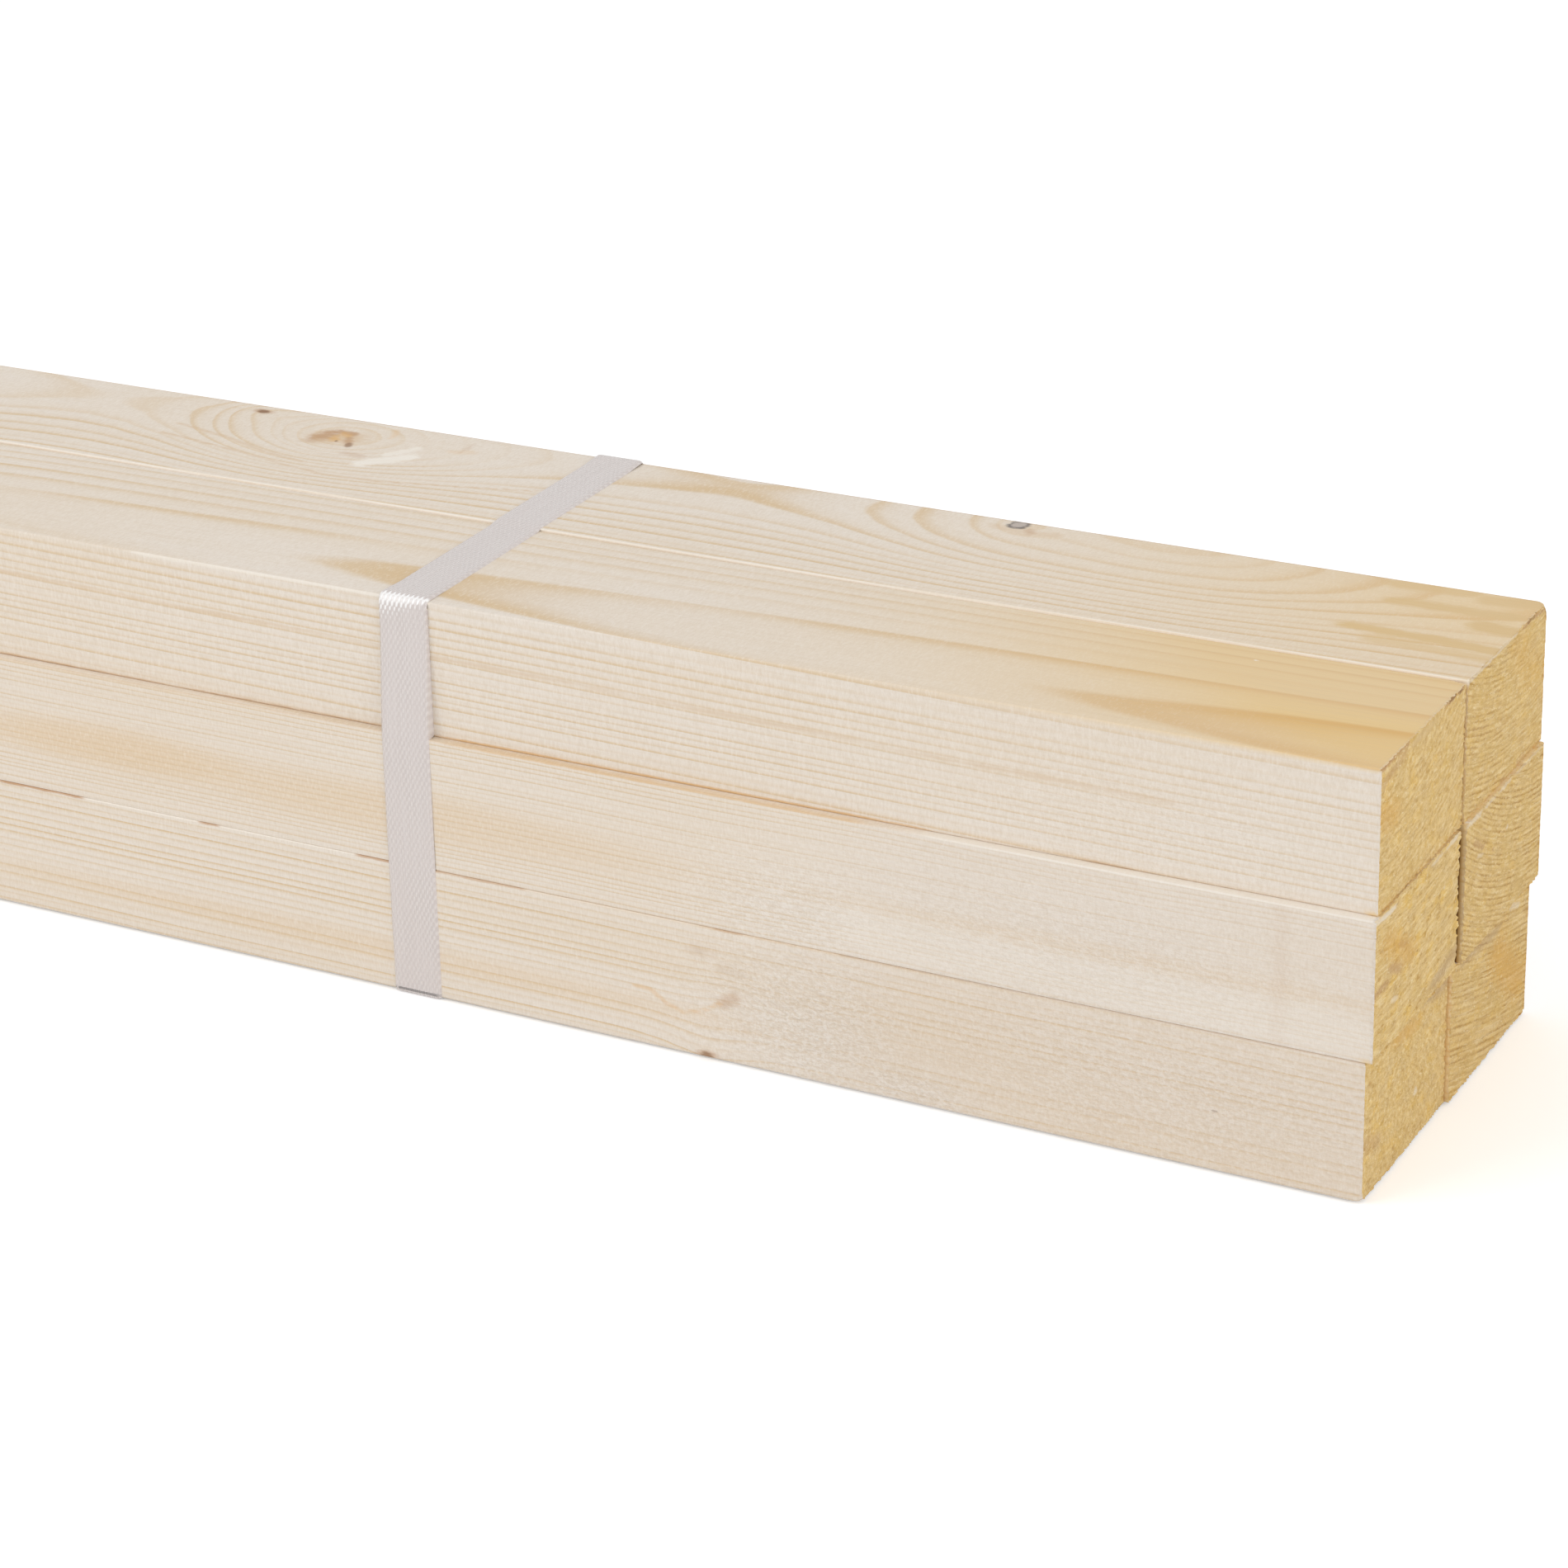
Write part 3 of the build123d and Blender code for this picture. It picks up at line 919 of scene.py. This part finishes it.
def strap_path():
    """A tight strap's way round the battens: points, directions outwards and points of its inner face."""
    centres = []
    for node in BATTENS:
        low, high = (np.array(corner)[1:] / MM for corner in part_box(node))
        low, high = np.round(low + ARRIS, 4), np.round(high - ARRIS, 4)
        centres += [(y, z) for y in (low[0], high[0]) for z in (low[1], high[1])]
    corners = hull(centres)
    runs = np.roll(corners, -1, 0) - corners
    angles = np.unwrap(np.arctan2(runs[:, 1], runs[:, 0]) - math.pi / 2)
    radius = ARRIS + STRAP_CLEARANCE
    points, outs, swells, arcs = [], [], [], []
    for k, corner in enumerate(corners):
        before = angles[k - 1] if k else angles[-1] - 2 * math.pi
        middle = (before + angles[k]) / 2
        stiff = BEND - ARRIS if math.sin(middle) > BEND_UP else 0.0
        swells.append((stiff * (1 - math.cos(angles[k] - middle)), stiff * math.sin(angles[k] - middle)))
        centre = corner - stiff * np.array((math.cos(middle), math.sin(middle)))
        arcs.append((centre, radius + stiff, before, angles[k]))
    for k, (centre, bend, first, last) in enumerate(arcs):
        for angle in np.linspace(first, last, STRAP_BEND + 1):
            outs.append((math.cos(angle), math.sin(angle)))
            points.append(centre + bend * np.array(outs[-1]))
        length = math.hypot(*runs[k])
        out = np.array((math.cos(last), math.sin(last)))
        (rise, start), (next_rise, spare) = swells[k], swells[(k + 1) % len(swells)]
        stop = length - spare
        for along in np.linspace(start, stop, max(2, int(length / STRAP_POINT)))[1:-1]:
            lift = rise * step(along, start + BEND_RUN, start)
            lift = lift + next_rise * step(along, stop - BEND_RUN, stop)
            outs.append(tuple(out))
            points.append(corners[k] + (radius + lift) * out + along / length * runs[k])
    points, outs = np.array(points), np.array(outs)

    (front_low, front_high), (back_low, _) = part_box("batten_top_front"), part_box("batten_top_back")
    front, rear = front_low.y / MM, front_high.y / MM
    foot, top = front_low.z / MM, front_high.z / MM
    y, z = points.T
    on_top = outs[:, 1] > FLAT
    near = step(y, back_low.y / MM + DIP_BACK, rear - DIP_FRONT)
    bulge = (BEND - ARRIS) * (1 - math.sqrt(0.5)) * step(y, front + BEND + BEND_RUN, front + BEND)
    z -= np.where(on_top, near * np.maximum(z - (top + STRAP_CLEARANCE) - bulge, 0), 0)
    inners = points - STRAP_CLEARANCE * outs
    inner_y, inner_z = inners.T
    on_front = (outs[:, 0] < -FLAT) & (z > foot) & (z < top - BEND)
    inner_y[on_front] = np.maximum(inner_y[on_front], front - STRAP_CLEARANCE)
    over_front = on_top & (y > front + ARRIS) & (y < rear)
    inner_z[over_front] = np.minimum(inner_z[over_front], top + STRAP_CLEARANCE)
    return points, outs, inners


def make_band(points, outs, inners, middle_x, width, lift, closed):
    """A band along a path, thin at its edges: vertices, faces and the fields that its material reads."""
    across = np.linspace(-width / 2, width / 2, STRAP_ACROSS + 1)
    gaps = np.hypot(*np.diff(points, axis=0).T)
    along = np.concatenate([[0], np.cumsum(gaps)])
    edge = STRAP_EDGE * np.clip((np.abs(across) - width / 2 + EDGE_RUN) / EDGE_RUN, 0, 1) ** 2
    low, high = (np.array(corner)[1:] / MM for corner in cad_box)
    bend = along[np.argmin(np.hypot(outs[:, 0] + math.sqrt(0.5), outs[:, 1] - math.sqrt(0.5)))]
    highlight_run = np.interp(across, (-width / 2, width / 2), HIGHLIGHT_RUN[::-1])
    sides = np.array([width / 2, -width / 2])
    count = STRAP_ACROSS + 3
    rows, highlights = [], []
    for point, out, inner, distance in zip(points, outs, inners, along):
        top = point + np.outer(lift + STRAP_THICKNESS * (1 - edge), out)
        under = inner + np.outer([lift] * 2, out)
        shift = middle_x + STRAP_LEAN[0] * (point[0] - low[0]) / (high[0] - low[0])
        shift = shift - STRAP_LEAN[1] * (high[1] - point[1]) / (high[1] - low[1])
        rows.append(np.column_stack([shift + across, top]))
        rows.append(np.column_stack([shift + sides * UNDER_SHARE, under]))
        # The white field is a highlight painted where the strap bends over the front edge, longest at its
        # left edge
        past = distance - bend
        white = closed * step(past, highlight_run, HIGHLIGHT_FULL) * step(past, HIGHLIGHT_START, HIGHLIGHT_FULL)
        highlights += [white, white[[-1, 0]]]
    faces = []
    for s in range(len(points) if closed else len(points) - 1):
        t = (s + 1) % len(points)
        for p in range(count):
            q = (p + 1) % count
            faces.append((s * count + p, s * count + q, t * count + q, t * count + p))
    if not closed:
        last = (len(points) - 1) * count
        faces += [tuple(range(count)), tuple(last + p for p in range(count))]
    fields = {"across": np.tile(np.concatenate([across, sides]), len(points)),
              "along": np.repeat(along, count), "white": np.concatenate(highlights)}
    return np.concatenate(rows), faces, fields


def make_strap(node, material):
    """One strap with the welded lap on its back."""
    low, high = (np.array(corner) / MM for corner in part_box(node))
    middle, width = (low[0] + high[0]) / 2, high[0] - low[0]
    points, outs, inners = strap_path()
    vertices, faces, fields = make_band(points, outs, inners, middle, width, 0.0, True)
    back_low, back_high = (corner.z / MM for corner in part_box("batten_top_back"))
    spare = (1 - LAP_SHARE) / 2 * (back_high - back_low)
    lap = (outs[:, 0] > FLAT) & (points[:, 1] > back_low + spare) & (points[:, 1] < back_high - spare)
    path = (points[lap], outs[lap], inners[lap])
    more, more_faces, more_fields = make_band(
        *path, middle, width * LAP_WIDTH, STRAP_THICKNESS * LAP_LIFT, False)
    faces += [tuple(len(vertices) + k for k in face) for face in more_faces]
    mesh = bpy.data.meshes.new(node + "_band")
    mesh.from_pydata((np.concatenate([vertices, more]) * MM).tolist(), [], faces)
    work = bmesh.new()
    work.from_mesh(mesh)
    bmesh.ops.recalc_face_normals(work, faces=work.faces)
    work.to_mesh(mesh)
    work.free()
    for name, values in fields.items():
        set_field(mesh, name, np.concatenate([values, more_fields[name]]))
    mesh.materials.append(material)
    mesh.shade_smooth()
    mesh.set_sharp_from_angle(angle=STRAP_SHARP)
    piece = add_object(node + "_band", mesh)
    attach(piece, "root")
    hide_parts(node)


def strap_plastic():
    """Milky plastic, embossed with small slanted lozenges painted darker in their hollows as shade, with a
    white highlight painted where it bends over the front edge.
    """
    g = Graph(bpy.data.materials.new("strap_plastic"))
    place = g.place()
    across, along, white = (g.field(name) for name in ("across", "along", "white"))
    streak = g.noise(place, (2.2, 0.03, 0.03), 2.0)
    cloud = g.noise(place, (0.12, 0.05, 0.05), 2.0)
    a = g.math("MULTIPLY", across, 2 * math.pi / EMBOSS_PITCH[0])
    b = g.math("MULTIPLY", along, 2 * math.pi / EMBOSS_PITCH[1])
    one, other = (g.math("COSINE", g.math(turn, a, b)) for turn in ("ADD", "SUBTRACT"))
    emboss = g.spread(g.math("MULTIPLY_ADD", one, 0.6, g.math("MULTIPLY", other, 0.4)), -0.5, 0.8)
    # Darker plastic in the embossing's hollows is painted shade
    colour = g.mix(emboss, *(linear(*shade) for shade in PLASTIC))
    colour = g.over(colour, (212, 202, 198), 0.5, cloud, 0.3, 0.7)
    colour = g.over(colour, (230, 224, 222), 0.2, streak, 0.4, 0.75)
    # Painted highlight: white over the bend, toothed by the embossing
    toothed = g.math("MULTIPLY_ADD", g.math("SUBTRACT", emboss, 0.5), 0.8, white)
    highlighted = g.math("GREATER_THAN", white, 0.01)
    colour = g.over(colour, (252, 251, 250), 0.9, toothed, 0.2, 1.0, highlighted)
    rough = g.spread(streak, 0.3, 0.7, 0.22, 0.3)
    normal = g.bump(streak, 0.03, Normal=g.bump(emboss, EMBOSS_DEPTH))
    return g.surface(Base_Color=colour, Roughness=rough, Specular_IOR_Level=1.0, Normal=normal)


plastic = strap_plastic()
for node in ("strap_right", "strap_left"):
    make_strap(node, plastic)


# Stage and light: the floor is lifted to white for the camera, and the world lights less than it shows
WHITE, FLOOR_GREY = (1.0, 1.0, 1.0, 1.0), (0.8, 0.8, 0.8, 1.0)
FLOOR_REACH, FLOOR_LIFT = 60.0, 0.24
WORLD_STRENGTH = 0.74

# Lamps: place and aim in metres, size and power
LAMPS = {
    "key": ((-0.75, -1.75, 1.40), (0.75, 0.0, 0.06), 1.6, 18.0),
    "fill": ((3.5, -0.8, 0.9), (0.85, 0.0, 0.06), 2.0, 25.0),
}

# The camera as fitted to the photo, in metres, with its lens in millimetres
CAMERA_PLACE = (1.33419, -0.96042, 0.54157)
CAMERA_RIGHT = (0.87988, 0.47415, -0.0314)
CAMERA_DOWN = (0.1663, -0.36916, -0.91437)
CAMERA_LENS, CAMERA_SENSOR, CAMERA_END = 97.53, 36.0, 100.0


def white_to_camera(g):
    """1 for rays that show the background: straight from the camera, mirrored or through glass."""
    path = g.node("LightPath").outputs
    shown = g.math("ADD", path["Is Camera Ray"], path["Is Glossy Ray"])
    return g.math("ADD", shown, path["Is Transmission Ray"], clamp=True)


def make_floor():
    g = Graph(bpy.data.materials.new("floor_white"))
    seen = white_to_camera(g)
    lit = g.node("BsdfDiffuse", {"Color": g.mix(seen, FLOOR_GREY, WHITE)})
    lift = g.node("Emission", {"Strength": g.math("MULTIPLY", seen, FLOOR_LIFT)})
    shader = g.node("AddShader", {0: lit.outputs[0], 1: lift.outputs[0]})
    g.node("OutputMaterial", {"Surface": shader.outputs[0]})
    mesh = bpy.data.meshes.new("floor")
    half = FLOOR_REACH / 2
    corners = [(-half, -half, 0), (half, -half, 0), (half, half, 0), (-half, half, 0)]
    mesh.from_pydata(corners, [], [(0, 1, 2, 3)])
    mesh.materials.append(g.owner)
    floor = add_object("floor", mesh)


def make_lamp(name, place, aim, size, power):
    lamp = bpy.data.lights.new(name, "AREA")
    lamp.size, lamp.energy = size, power
    holder = add_object(name, lamp)
    holder.location = place
    holder.rotation_euler = (Vector(aim) - Vector(place)).to_track_quat("-Z", "Y").to_euler()


def make_world():
    g = Graph(bpy.data.worlds.new("studio"))
    lit = g.node("Background", {"Color": WHITE, "Strength": WORLD_STRENGTH})
    shown = g.node("Background", {"Color": WHITE})
    blend = g.node("MixShader", {0: white_to_camera(g), 1: lit.outputs[0], 2: shown.outputs[0]})
    g.node("OutputWorld", {"Surface": blend.outputs[0]})
    bpy.context.scene.world = g.owner


def make_camera():
    data = bpy.data.cameras.new("camera")
    data.lens, data.sensor_width, data.clip_end = CAMERA_LENS, CAMERA_SENSOR, CAMERA_END
    camera = add_object("camera", data)
    right, up = Vector(CAMERA_RIGHT).normalized(), -Vector(CAMERA_DOWN).normalized()
    turn = Matrix((right, up, right.cross(up))).transposed().to_4x4()
    camera.matrix_world = Matrix.Translation(CAMERA_PLACE) @ turn
    bpy.context.scene.camera = camera


make_floor()
make_world()
for name, lamp in LAMPS.items():
    make_lamp(name, *lamp)
make_camera()
bpy.context.scene.view_settings.view_transform = "Standard"
